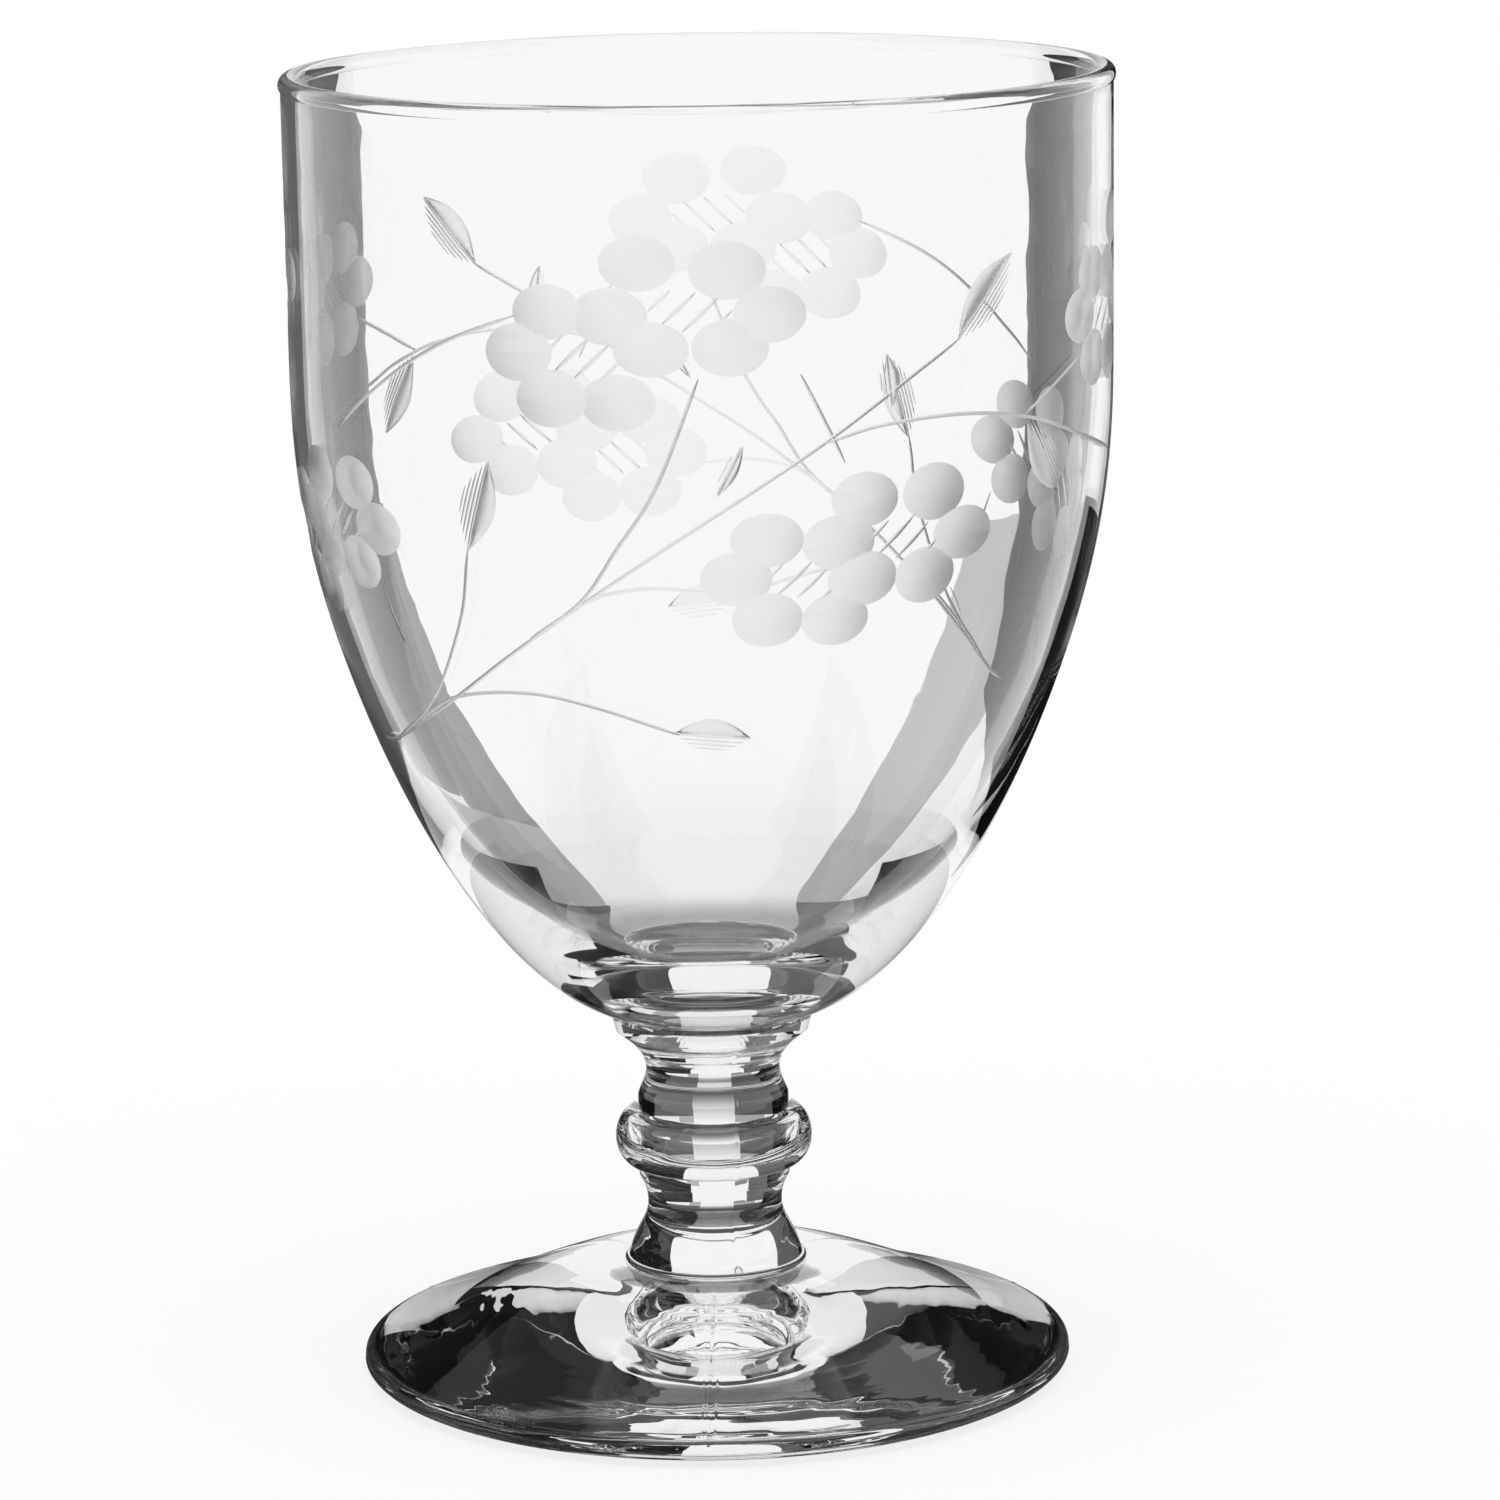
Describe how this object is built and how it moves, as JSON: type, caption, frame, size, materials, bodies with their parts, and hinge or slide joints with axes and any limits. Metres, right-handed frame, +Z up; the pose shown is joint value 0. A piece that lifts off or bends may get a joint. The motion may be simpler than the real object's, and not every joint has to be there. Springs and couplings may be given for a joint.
{
  "type": "water goblet",
  "caption": "Clear glass water goblet: deep round-bottomed bowl with a bead rim and a cut flower spray, short stem with a round knop, and a wide shallow-coned foot.",
  "frame": {"origin": "middle of the ring that the foot stands on, at table height", "axes": "+Z up along the axis on which the goblet is round; the cut spray's main stem starts to the left of -Y, the front"},
  "size_m": [0.0828, 0.0828, 0.133],
  "materials": {
    "clear_glass": "clear fire-polished soda-lime glass, very slightly grey; on the bowl's outside the cut flowers are shallow, matt and unpolished"
  },
  "bodies": {
    "root": {"foot": "clear_glass", "stem": "clear_glass", "bowl": "clear_glass"}
  },
  "joints": []
}
